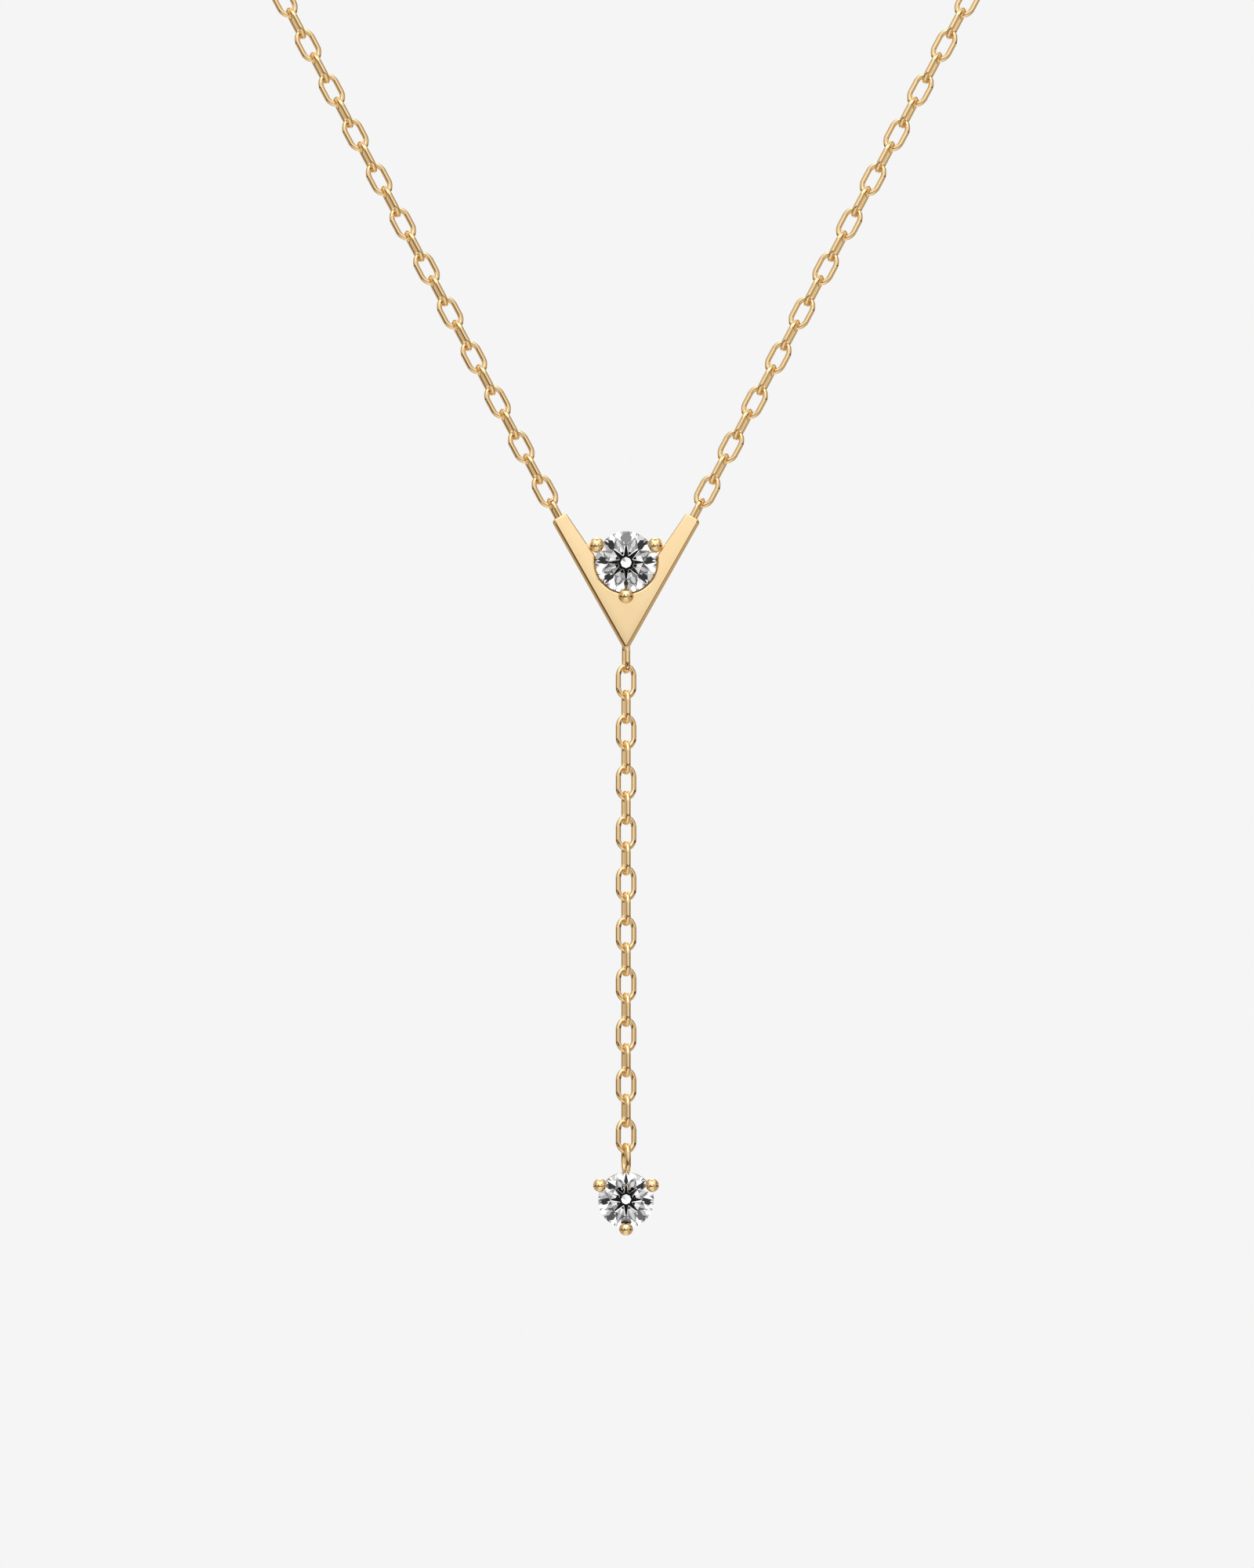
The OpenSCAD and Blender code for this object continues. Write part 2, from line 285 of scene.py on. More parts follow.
def addTints(tree, value, stops):
    ramp = addNode(tree, "ShaderNodeValToRGB")
    for index, (position, tint) in enumerate(stops):
        element = ramp.color_ramp.elements[index] if index < 2 else ramp.color_ramp.elements.new(position)
        element.position = position
        element.color = (*tint, 1)
    tree.links.new(value, ramp.inputs["Fac"])
    return ramp.outputs["Color"]


def newMaterial(name):
    material = bpy.data.materials.new(name)
    material.use_nodes = True
    tree = material.node_tree
    shader = tree.nodes["Principled BSDF"]
    place = addNode(tree, "ShaderNodeTexCoord").outputs["Object"]
    return material, tree, shader, place


goldLook = {
    "pale": (0.985, 0.745, 0.42),     # tint where the alloy is palest
    "deep": (0.975, 0.725, 0.395),    # tint where it is deepest
    "tintScale": 900,                 # cells per metre of the slow change of tint
    "grainScale": 26000,              # fine grain of the surface
    "scratchScale": 5200,             # polishing marks
    "scratchSquash": (1, 1, 0.12),    # draws the marks out upwards
    # roughness from smoothest to roughest, then heights of the grain and of the marks in metres
    "polished": (0.05, 0.1, 0.00000005, 0.0000004),
    "satin": (0.2, 0.27, 0.0000001, 0.0000005),
}


def makeGold(name, smoothest, roughest, grainHeight, scratchHeight):
    material, tree, shader, place = newMaterial(name)
    shader.inputs["Metallic"].default_value = 1
    slow = addNoise(tree, place, goldLook["tintScale"], 2)
    tree.links.new(addTints(tree, slow, ((0.3, goldLook["deep"]), (0.7, goldLook["pale"]))),
                   shader.inputs["Base Color"])
    grain = addNoise(tree, place, goldLook["grainScale"], 4, 0.6)
    tree.links.new(addRange(tree, grain, 0.25, 0.75, smoothest, roughest), shader.inputs["Roughness"])
    stretch = addNode(tree, "ShaderNodeMapping")
    stretch.inputs["Scale"].default_value = goldLook["scratchSquash"]
    tree.links.new(place, stretch.inputs["Vector"])
    scratches = addNoise(tree, stretch.outputs["Vector"], goldLook["scratchScale"], 3, 0.65, 0.4)
    fine = addNode(tree, "ShaderNodeBump")
    fine.inputs["Strength"].default_value = 1
    fine.inputs["Distance"].default_value = grainHeight
    tree.links.new(grain, fine.inputs["Height"])
    marks = addNode(tree, "ShaderNodeBump")
    marks.inputs["Strength"].default_value = 1
    marks.inputs["Distance"].default_value = scratchHeight
    tree.links.new(scratches, marks.inputs["Height"])
    tree.links.new(fine.outputs["Normal"], marks.inputs["Normal"])
    tree.links.new(marks.outputs["Normal"], shader.inputs["Normal"])
    return material


stoneLook = {
    "tint": (0.985, 0.99, 1),
    "index": 2.42,
    "clarityScale": 1400,      # cells per metre of the faint change of tint
    "grindScale": 30000,       # grain of the ground girdle
    "girdleRoughness": 0.28,
}


def makeStone(name, frosted):
    material, tree, shader, place = newMaterial(name)
    shader.inputs["IOR"].default_value = stoneLook["index"]
    shader.inputs["Transmission Weight"].default_value = 1
    shader.inputs["Roughness"].default_value = 0
    clarity = addNoise(tree, place, stoneLook["clarityScale"], 2)
    tree.links.new(addTints(tree, clarity, ((0.35, stoneLook["tint"]), (0.65, (1, 1, 1)))),
                   shader.inputs["Base Color"])
    if frosted:
        grind = addNoise(tree, place, stoneLook["grindScale"], 2)
        tree.links.new(addRange(tree, grind, 0.3, 0.7, 0.6 * stoneLook["girdleRoughness"],
                                stoneLook["girdleRoughness"]), shader.inputs["Roughness"])
    return material


polishedGold = makeGold("polishedGold", *goldLook["polished"])
satinGold = makeGold("satinGold", *goldLook["satin"])
clearStone = makeStone("clearStone", False)
frostedStone = makeStone("frostedStone", True)
print("materials made")


# Brilliant-cut stones: a drum cut back to its facets

stoneCut = {
    "sides": 96,
    "table": 0.57,        # shares of the diameter, as in the frame
    "crown": 0.155,
    "pavilion": 0.43,
    "girdle": 0.03,
    "starReach": 0.46,    # how far the star facets reach from the table to the girdle
    "lowerReach": 0.23,   # how near the lower facets come to the middle
    "spare": 0.2,         # height of the uncut drum beyond the facets
}


def ringPoint(radius, degrees, height):
    angle = math.radians(degrees)
    return Vector((radius * math.cos(angle), radius * math.sin(angle), height))


def cutFacet(a, b, c):
    normal = (b - a).cross(c - a).normalized()
    if normal.dot(a) < 0:
        normal = -normal
    bpy.ops.mesh.select_all(action="SELECT")
    bpy.ops.mesh.bisect(plane_co=a, plane_no=normal, use_fill=True, clear_outer=True, threshold=0.000001)


def stoneSizes(diameter):
    radius = diameter / 2
    half = stoneCut["girdle"] * diameter / 2
    crown = stoneCut["crown"] * diameter
    pavilion = stoneCut["pavilion"] * diameter
    tableRadius = stoneCut["table"] * radius
    starRadius = tableRadius + stoneCut["starReach"] * (radius - tableRadius)
    narrow = math.cos(math.radians(22.5))
    starHeight = half + crown * (radius - starRadius * narrow) / (radius - tableRadius)
    lowerRadius = stoneCut["lowerReach"] * radius
    lowerHeight = -half - pavilion * (1 - lowerRadius * narrow / radius)
    return radius, half, crown, pavilion, tableRadius, starRadius, starHeight, lowerRadius, lowerHeight


def cutStone(name, diameter):
    sizes = stoneSizes(diameter)
    radius, half, crown, pavilion, tableRadius, starRadius, starHeight, lowerRadius, lowerHeight = sizes
    clearSelection()
    bpy.ops.mesh.primitive_cylinder_add(vertices=stoneCut["sides"], radius=radius,
                                        depth=2 * (half + pavilion + stoneCut["spare"]))
    piece = bpy.context.object
    piece.name = name
    bpy.ops.object.mode_set(mode="EDIT")
    culet = Vector((0, 0, -half - pavilion))
    top = half + crown
    for turn in range(0, 360, 45):
        cutFacet(ringPoint(radius, turn, half), ringPoint(tableRadius, turn, top),
                 ringPoint(radius, turn, half) + ringPoint(1, turn + 90, 0))
        cutFacet(ringPoint(radius, turn, -half), culet,
                 ringPoint(radius, turn, -half) + ringPoint(1, turn + 90, 0))
    for turn in range(0, 360, 45):
        middle = turn + 22.5
        for end in (turn, turn + 45):
            cutFacet(ringPoint(starRadius, middle, starHeight), ringPoint(radius, middle, half),
                     ringPoint(radius, end, half))
            cutFacet(ringPoint(lowerRadius, middle, lowerHeight), ringPoint(radius, middle, -half),
                     ringPoint(radius, end, -half))
        cutFacet(ringPoint(starRadius, middle, starHeight), ringPoint(tableRadius, turn, top),
                 ringPoint(tableRadius, turn + 45, top))
    cutFacet(Vector((0, 0, top)), Vector((1, 0, top)), Vector((0, 1, top)))
    cleanUp(piece)
    giveMaterials(piece, clearStone, frostedStone)
    for face in piece.data.polygons:
        face.material_index = int(abs(face.normal.z) < 0.1)
    return piece


def stoneRoom(name, diameter, gap):
    # the space that a stone takes in its setting
    radius, half, crown, pavilion, tableRadius, starRadius, starHeight = stoneSizes(diameter)[:7]
    profile = [(0, -half - gap - pavilion), (radius + gap, -half - gap), (radius + gap, half + gap),
               (starRadius + gap, starHeight + gap), (tableRadius + gap, half + gap + crown),
               (0, half + gap + crown)]
    return turnProfile(name, profile, 96)


stones = {
    "centreDiameter": 3.2,
    "centreAt": Vector((0, -110.45, -113.5)),
    "dropDiameter": 2.9,
    "dropAt": Vector((0, -110.22, -146.855)),
}

centreStone = cutStone("centreStone", stones["centreDiameter"])
settle(centreStone, facing(stones["centreAt"]))
handOver(centreStone, "necklace", ["centre_stone"])
dropStone = cutStone("dropStone", stones["dropDiameter"])
settle(dropStone, facing(stones["dropAt"]))
handOver(dropStone, "drop", ["drop_stone"])


# Baskets: gallery, base ring and three prongs that end in balls

basket = {
    "prong": 0.32,
    "foot": ((0, -0.12), (0.7, -0.12), (1.15, 0), (1, 0.3)),      # share of the prong's radius, height
    "waist": (0.94, 0.6),      # thinnest place: share of the prong's radius, share of its length
    "ballShare": 0.25,         # radius of the balls, in stone radii
    "ballMeets": 1.1,          # where the ball starts, in prong radii
    "centreReach": (1.1, 1.1, 1.1),      # of the balls' middles, in stone radii
    "dropReach": (1.08, 1.08, 1.03),
    "ballRise": 0.06,          # of the balls' middles above the girdle
    "baseShare": 0.42,         # radius of the base ring, in stone radii
    "baseWire": 0.38,
    "baseCorner": 0.12,
    "baseDepth": 1.35,
    "galleryHeight": 0.34,
    "galleryInner": 0.78,      # in stone radii
    "galleryEase": 0.05,
    "rimEase": (0.012, 0.03),  # of the gallery's upper edge, across and down
    "underGirdle": 0.01,
    "gap": 0.012,              # room round the stone
    "ballSteps": 20,
    "turnSteps": 48,
}


def roundedSection(radius, height, width, depth, corner):
    points = []
    for sx, sy, start in ((1, -1, -90), (1, 1, 0), (-1, 1, 90), (-1, -1, 180)):
        for step in range(4):
            angle = math.radians(start + 30 * step)
            points.append((radius + sx * (width / 2 - corner) + corner * math.cos(angle),
                           height + sy * (depth / 2 - corner) + corner * math.sin(angle)))
    return points


def makeProng(name, diameter, degrees, reach):
    radius = diameter / 2
    low = Vector((basket["baseShare"] * radius, 0, -basket["baseDepth"]))
    high = Vector((reach * radius, 0, stoneCut["girdle"] * radius + basket["ballRise"]))
    length = (high - low).length
    ball = basket["ballShare"] * radius
    shank = basket["prong"] / 2
    thin, thinAt = basket["waist"]
    profile = [(shank * share, height) for share, height in basket["foot"]]
    profile.append((shank * thin, length * thinAt))
    first = -math.acos(shank * basket["ballMeets"] / ball)
    for step in range(basket["ballSteps"] + 1):
        angle = first + (math.pi / 2 - first) * step / basket["ballSteps"]
        profile.append((ball * math.cos(angle), length + ball * math.sin(angle)))
    profile[-1] = (0, length + ball)
    piece = turnProfile(name, profile, basket["turnSteps"])
    lean = (high - low).normalized()
    aim = Vector((0, 0, 1)).rotation_difference(lean).to_matrix().to_4x4()
    piece.data.transform(Matrix.Rotation(math.radians(degrees), 4, "Z") @ Matrix.Translation(low) @ aim)
    return piece


def makeBasket(name, diameter, outer, lift):
    radius, half = stoneSizes(diameter)[:2]
    inner = basket["galleryInner"] * radius
    top = -half - basket["underGirdle"]
    low = -half - basket["galleryHeight"]
    ease = basket["galleryEase"]
    across, down = basket["rimEase"]
    gallery = turnProfile(name + "Gallery", [(inner, low), (outer - ease, low), (outer, low + ease),
                                             (outer, top - down), (outer - across, top), (inner, top)],
                          96, closed=True)
    gallery.data.transform(Matrix.Translation((0, lift, 0)))
    members = [gallery]
    for degrees, reach in zip(places["prongAngles"], basket[name + "Reach"]):
        members.append(makeProng(name + "Prong", diameter, degrees, reach))
    for member in members:
        combine(member, stoneRoom("room", diameter, basket["gap"]), "DIFFERENCE")
    base = turnProfile(name + "Base", roundedSection(basket["baseShare"] * radius, -basket["baseDepth"],
                                                     basket["baseWire"], basket["baseWire"],
                                                     basket["baseCorner"]),
                       64, closed=True)
    members.append(base)
    for member in members:
        shadeSmooth(member, 32)
        giveMaterials(member, polishedGold)
    return members


# Chain links

link = {
    "wire": 0.275,
    # corners of the middle line: across, along, and the share of a narrowing that each takes
    "corners": ((0.42, 0.46, 0.5), (0.2, 0.785, 0.1)),
    "sides": 8,
    "rounding": 0.15,
    "roundSteps": 4,
    "ease": 0.03,             # easing of the edges between the wire's flats
    "loopSides": 16,
    "loopNarrower": 0.2,      # the soldered end loops are narrower and rounder
    "loopRounding": 0.2,
    "loopSteps": 8,
}


def linkLine(narrower=0):
    quarter = [(x - narrower * share, y) for x, y, share in link["corners"]]
    line = quarter + [(-x, y) for x, y in reversed(quarter)]
    line += [(-x, -y) for x, y in quarter] + [(x, -y) for x, y in reversed(quarter)]
    return [(x, y, 0) for x, y in line]


def makeFineLink():
    piece = bendWire("fineLink", linkLine(), link["wire"], link["sides"], link["rounding"],
                     link["roundSteps"], firstCorner=0)
    # the flats of the wire stay readable, with their edges eased
    easeEdges(piece, link["ease"], 1, 35)
    shadeSmooth(piece, 40)
    giveMaterials(piece, polishedGold)
    return piece


def makeLoopLink():
    piece = bendWire("loopLink", linkLine(link["loopNarrower"]), link["wire"], link["loopSides"],
                     link["loopRounding"], link["loopSteps"])
    shadeSmooth(piece, 60)
    giveMaterials(piece, polishedGold)
    return piece


def rowOfLinks(pattern, start, along, turn, count):
    members = []
    front = Vector((0, -1, 0))
    for index in range(1, count + 1):
        across = turned(front, along, turn + (index % 2) * 90)
        members.append(placedCopy(pattern, axes(start + index * places["linkPitch"] * along, across, along)))
    return members


fineLink = makeFineLink()
loopLink = makeLoopLink()
down = Vector((0, 0, -1))
tipLoop = places["tip"] - Vector((0, 0, places["loopDrop"]))
strandDirs = {}
for side, sideName in ((-1, "Left"), (1, "Right")):
    lean = math.radians(places["strandAngle"])
    strandDirs[side] = Vector((side * math.sin(lean), 0, math.cos(lean)))
    loopAt = Vector((side * places["armLoop"].x, places["armLoop"].y, places["armLoop"].z))
    strand = joinAll("neckLinks" + sideName, rowOfLinks(fineLink, loopAt, strandDirs[side],
                                                        -side * places["linkTurn"], places["strandLinks"]))
    settle(strand)
    handOver(strand, "necklace", ["neck_links_" + sideName.lower()])

dropChain = joinAll("dropChain", rowOfLinks(fineLink, tipLoop, down, -places["linkTurn"],
                                            places["dropLinks"]))
settle(dropChain)
handOver(dropChain, "necklace", ["drop_chain"])


# The V plate with its seat, basket and soldered loops

plate = {
    "width": 7.8,
    "height": 6.65,
    "tipDrop": 0.25,          # the rounded tip reaches this far below the frame's sharp one
    "armWidth": 0.86,
    "thickness": 1.1,
    "seatRadius": 1.655,
    "seatFloor": 0.232,       # above the middle of the thickness
    "openRadius": 1.348,      # of the opening right through, under the seat
    "openFrom": -2,
    "cutterHeight": 4,
    "cutterSides": 160,
    "centreRise": 4.5,        # middle of the stone above the frame's tip
    "stoneDepth": 0.1,        # girdle below the face
    "galleryOverlap": 0.1,    # the gallery reaches this far into the plate
    "meetAngle": 8,           # where the arms meet the seat, above its middle
    "meetInside": 0.1,
    "outerEdge": 0.2,         # rounding along the two long outer edges
    "outerSteps": 6,
    "edge": 0.09,             # and along all the others
    "edgeSteps": 3,
    "levelCuts": 31,
    "levelStep": 0.22,
    "levelShift": 0.131,
    "sideCuts": 4,            # and along each outer edge
    "sideStep": 0.1,
    "faceFrom": 0.3,          # what lies above this height takes part in the crown
    "fallFrom": 0.6,          # from here outwards the face falls away towards the outer edges
    "fall": 0.06,
    "crown": 0.0042,          # drop of the face per square millimetre away from its middle
    "crownMiddle": 3.6,
    "crownAcross": 0.0015,
    "levelFace": 0.995,       # a face whose normal is this upright is flat, and satin in front
    "wallFace": 0.9995,       # and so is one that faces straight out from the outline
    "creaseAngle": 40,
}


def plateOutline():
    halfWidth, height = plate["width"] / 2, plate["height"]
    lean = math.atan2(halfWidth, height + plate["tipDrop"])
    inner = (halfWidth - plate["armWidth"] * math.cos(lean), height + plate["armWidth"] * math.sin(lean))
    meetRadius = plate["seatRadius"] - plate["meetInside"]
    meet = (meetRadius * math.cos(math.radians(plate["meetAngle"])),
            plate["centreRise"] + meetRadius * math.sin(math.radians(plate["meetAngle"])))
    right = [(halfWidth, height), inner, meet]
    line = [(0, -plate["tipDrop"])] + right + [(-x, y) for x, y in reversed(right)]
    return [(x, y, -plate["thickness"] / 2) for x, y in line]


def shadePlate(piece):
    # the flat faces keep their own direction, however finely they are cut
    outline = [Vector((x, y, 0)) for x, y, z in plateOutline()]
    walls = [(b - a).cross(Vector((0, 0, 1))).normalized()
             for a, b in zip(outline, outline[1:] + outline[:1])]

    def isFlat(face):
        return abs(face.normal.z) > plate["levelFace"] or any(face.normal.dot(wall) > plate["wallFace"]
                                                              for wall in walls)

    makeActive(piece)
    bpy.ops.object.shade_smooth_by_angle(angle=math.radians(plate["creaseAngle"]))
    pick(piece, "polygons", isFlat)
    bpy.ops.mesh.mod_weighted_strength(set=True, face_strength="STRONG")
    bpy.ops.mesh.select_all(action="INVERT")
    bpy.ops.mesh.mod_weighted_strength(set=True, face_strength="WEAK")
    bpy.ops.object.mode_set(mode="OBJECT")
    weighNormals(piece, "CORNER_ANGLE", 50, byStrength=True)


def makePlate():
    half = plate["thickness"] / 2
    tip = Vector((0, -plate["tipDrop"], 0))
    slope = plate["width"] / 2 / (plate["height"] + plate["tipDrop"])
    lean = math.atan(slope)
    piece = drawOutline("plate", plateOutline(), "NGON")
    bpy.ops.object.mode_set(mode="EDIT")
    bpy.ops.mesh.select_all(action="SELECT")
    bpy.ops.mesh.extrude_region_move(TRANSFORM_OT_translate={"value": (0, 0, plate["thickness"])})
    bpy.ops.object.mode_set(mode="OBJECT")
    cleanUp(piece)
    depth = plate["cutterHeight"]
    for radius, low in ((plate["openRadius"], plate["openFrom"]), (plate["seatRadius"], plate["seatFloor"])):
        clearSelection()
        bpy.ops.mesh.primitive_cylinder_add(vertices=plate["cutterSides"], radius=radius, depth=depth,
                                            location=(0, plate["centreRise"], low + depth / 2))
        cutter = bpy.context.object
        settleInPlace(cutter)
        combine(piece, cutter, "DIFFERENCE")
    cleanUp(piece)

    def onOuterEdge(edge):
        return all(abs(abs(end.z) - half) < 0.001
                   and abs(abs(end.x) - slope * (end.y + plate["tipDrop"])) < 0.001
                   for end in edgeEnds(piece, edge))

    def inward(side):
        return Vector((-side * math.cos(lean), math.sin(lean), 0))

    makeActive(piece)
    pick(piece, "edges", onOuterEdge)
    bpy.ops.mesh.bevel(offset=plate["outerEdge"], segments=plate["outerSteps"], affect="EDGES")
    bpy.ops.object.mode_set(mode="OBJECT")
    easeEdges(piece, plate["edge"], plate["edgeSteps"], 32, clamp=False)

    # cuts across the plate and along its outer edges let the face be crowned a little
    cuts = [((0, step * plate["levelStep"] - plate["levelShift"], 0), (0, 1, 0))
            for step in range(1, plate["levelCuts"] + 1)]
    for side in (-1, 1):
        cuts += [(tip + (plate["outerEdge"] + plate["sideStep"] * step) * inward(side), inward(side))
                 for step in range(1, plate["sideCuts"] + 1)]
    bpy.ops.object.mode_set(mode="EDIT")
    for place, normal in cuts:
        bpy.ops.mesh.select_all(action="SELECT")
        bpy.ops.mesh.bisect(plane_co=place, plane_no=normal, threshold=0.00001)
    bpy.ops.object.mode_set(mode="OBJECT")
    for vertex in piece.data.vertices:
        if vertex.co.z > plate["faceFrom"]:
            room = (vertex.co - tip).dot(inward(math.copysign(1, vertex.co.x)))
            vertex.co.z -= (plate["crown"] * (vertex.co.y - plate["crownMiddle"]) ** 2
                            + plate["crownAcross"] * vertex.co.x ** 2
                            + plate["fall"] * max(0, plate["fallFrom"] - room) ** 2)
    shadePlate(piece)
    giveMaterials(piece, satinGold, polishedGold)
    for face in piece.data.polygons:
        face.material_index = int(face.normal.z < plate["levelFace"])
    return piece


def makeChevron():
    body = makePlate()
    seat = Vector((0, plate["centreRise"], plate["thickness"] / 2 - plate["stoneDepth"]))
    galleryRadius = plate["openRadius"] + plate["galleryOverlap"]
    members = makeBasket("centre", stones["centreDiameter"], galleryRadius, 0)
    for member in members:
        member.data.transform(Matrix.Translation(seat))
    for member in [body] + members:
        member.data.transform(facing(places["tip"]))
    front = Vector((0, -1, 0))
    up = Vector((0, 0, 1))
    loops = [placedCopy(loopLink, axes(tipLoop, turned(front, up, places["linkTurn"]), up))]
    for side in (-1, 1):
        loopAt = Vector((side * places["armLoop"].x, places["armLoop"].y, places["armLoop"].z))
        across = turned(front, strandDirs[side], -side * places["linkTurn"])
        loops.append(placedCopy(loopLink, axes(loopAt, across, strandDirs[side])))
    return joinAll("chevronPlate", [body] + members + loops)


chevron = makeChevron()
settle(chevron)
handOver(chevron, "necklace", ["chevron"])


# The drop's setting

bail = {
    "wire": 0.28,
    "width": 1.16,
    "length": 1.7,
    "rise": 2.18,             # middle of the bail above the middle of the drop
    "forward": 0.22,          # the stone in front of the bail
    "rimRadius": 1.452,       # outer radius of the drop's gallery, which is set up a little
    "rimLift": 0.026,
    "steps": 28,
    "fullness": 0.8,          # under 1 makes the oval fuller at its shoulders
}


def makeDropSetting():
    members = makeBasket("drop", stones["dropDiameter"], bail["rimRadius"], bail["rimLift"])
    for member in members:
        member.data.transform(Matrix.Translation((0, 0, bail["forward"])))
    halfWidth, halfLength = (bail["width"] - bail["wire"]) / 2, (bail["length"] - bail["wire"]) / 2
    line = []
    for step in range(bail["steps"]):
        angle = 2 * math.pi * step / bail["steps"]
        x, y = [math.copysign(abs(part) ** bail["fullness"], part)
                for part in (math.cos(angle), math.sin(angle))]
        line.append((halfWidth * x, halfLength * y, 0))
    ring = bendWire("bail", line, bail["wire"], 16)
    shadeSmooth(ring, 60)
    giveMaterials(ring, polishedGold)
    up = Vector((0, 1, 0))
    across = turned(Vector((0, 0, 1)), up, places["linkTurn"])
    ring.data.transform(axes(Vector((0, bail["rise"], 0)), across, up))
    members.append(ring)
    return joinAll("dropSetting", members)


dropSetting = makeDropSetting()
settle(dropSetting, facing(stones["dropAt"] + Vector((0, bail["forward"], 0))))
handOver(dropSetting, "drop", ["drop_setting"])


# The hidden chain, from the front strands round the neck to the fastening

neckRoute = {
    "points": ((34, -107, -55), (46, -91, -33), (52, -62, -16), (45, -29, -6), (26, -7, -1)),
    "strandEnd": 32.725,      # end of the front strand, from its soldered loop
    "guide": 30,              # how far the two points outside the route's ends lie from them
    "steps": 120,             # of each stretch between two points
    "firstLink": 33,          # middle of the first hidden link, from the soldered loop
    "leftStop": 6.46,         # ends of the route, from the middle
    "rightStop": 2.28,
    "leftLast": 6.58,         # middle of the last link, that goes through the clasp's small loop
    "rightLast": 2.3,         # and of the one that goes through the end ring
    "lastStretch": 12,        # that link is looked for this near the route's end
    "wire": 0.24,
}


def smoothPoint(p, t):
    return (p[1] + t / 2 * (p[2] - p[0]) + t * t / 2 * (2 * p[0] - 5 * p[1] + 4 * p[2] - p[3])
            + t * t * t / 2 * (3 * p[1] - p[0] - 3 * p[2] + p[3]))


def routeLine(side):
    direction = strandDirs[1]
    start = places["armLoop"] + neckRoute["strandEnd"] * direction
    stop = Vector((neckRoute["leftStop"] if side < 0 else neckRoute["rightStop"], places["nape"], 0))
    points = [start - neckRoute["guide"] * direction, start]
    points += [Vector(point) for point in neckRoute["points"]]
    points += [stop, stop - Vector((neckRoute["guide"], 0, 0))]
    line = []
    for index in range(1, len(points) - 2):
        for step in range(neckRoute["steps"]):
            line.append(smoothPoint(points[index - 1:index + 3], step / neckRoute["steps"]))
    line.append(points[-2])
    return [Vector((side * point.x, point.y, point.z)) for point in line]


def makeHiddenLinks(pattern, side):
    line = routeLine(side)
    lastX = neckRoute["leftLast"] if side < 0 else neckRoute["rightLast"]
    lengths = [0]
    for a, b in zip(line, line[1:]):
        lengths.append(lengths[-1] + (b - a).length)
    # directions and a front that is carried along without twist
    ways = [(line[min(i + 1, len(line) - 1)] - line[max(i - 1, 0)]).normalized() for i in range(len(line))]
    fronts = [Vector((0, -1, 0))]
    for a, b in zip(ways, ways[1:]):
        carried = a.rotation_difference(b) @ fronts[-1]
        fronts.append((carried - carried.dot(b) * b).normalized())

    def at(length):
        index = 0
        while index < len(lengths) - 2 and lengths[index + 1] < length:
            index += 1
        share = (length - lengths[index]) / (lengths[index + 1] - lengths[index])
        return (line[index].lerp(line[index + 1], share),
                ways[index].lerp(ways[index + 1], share).normalized(),
                fronts[index].lerp(fronts[index + 1], share).normalized())

    first = neckRoute["firstLink"] - neckRoute["strandEnd"]
    last = min((abs(abs(point.x) - lastX), length) for point, length in zip(line, lengths)
               if length > lengths[-1] - neckRoute["lastStretch"])[1]
    count = round((last - first) / places["linkPitch"])
    pitch = (last - first) / count
    # the last link is turned so that it threads the clasp's small loop or the end ring
    wanted = Vector((0, 1, 0)) if side < 0 else Vector((0, 0, 1))
    along, front = at(last)[1:]
    phase = places["strandLinks"] + 1
    ends = turned(front, along, -side * places["linkTurn"] + ((phase + count) % 2) * 90)
    flat = (wanted - wanted.dot(along) * along).normalized()
    twist = math.degrees(math.atan2(ends.cross(flat).dot(along), ends.dot(flat)))
    twist = (twist + 90) % 180 - 90
    members = []
    for index in range(count + 1):
        point, along, front = at(first + index * pitch)
        front = (front - front.dot(along) * along).normalized()
        turn = -side * places["linkTurn"] + ((phase + index) % 2) * 90 + twist * index / count
        members.append(placedCopy(pattern, axes(point, turned(front, along, turn), along)))
    print("hidden links", count + 1, "pitch", round(pitch, 4), "twist", round(twist, 1))
    return members


coarseLink = bendWire("coarseLink", linkLine(), neckRoute["wire"], 6)
shadeSmooth(coarseLink, 70)
giveMaterials(coarseLink, polishedGold)
for side, sideName in ((-1, "Left"), (1, "Right")):
    chain = joinAll("neckChain" + sideName, makeHiddenLinks(coarseLink, side))
    settle(chain)
    handOver(chain, "necklace", ["neck_chain_" + sideName.lower()])


# The fastening at the nape

clasp = {
    "radius": 2.27,
    "barrel": 0.96,
    "bow": 0.64,
    "sweep": 240,
    "tagX": -3.25,            # small loop, from the clasp's middle
    "tagRadius": 0.6,
    "tagWire": 0.4,
    "leverAngle": 68,
    "leverShank": 0.13,       # radius
    "leverFoot": 0.4,         # from the barrel's middle to where the widened foot ends
    "footFlare": 1.4,
    "leverReach": 0.22,       # middle of the knob above the barrel
    "knob": 0.42,
    "mouthEase": 0.1,
    # section of a collar, distance from its middle and height, and its place behind the mouth in degrees
    "collar": ((0.3, -0.13), (0.46, -0.13), (0.53, -0.07), (0.53, 0.07), (0.46, 0.13), (0.3, 0.13)),
    "collarBack": 7,
}


def circleSection(radius, height, size, sides):
    return [(radius + size / 2 * math.cos(2 * math.pi * i / sides),
             height + size / 2 * math.sin(2 * math.pi * i / sides)) for i in range(sides)]


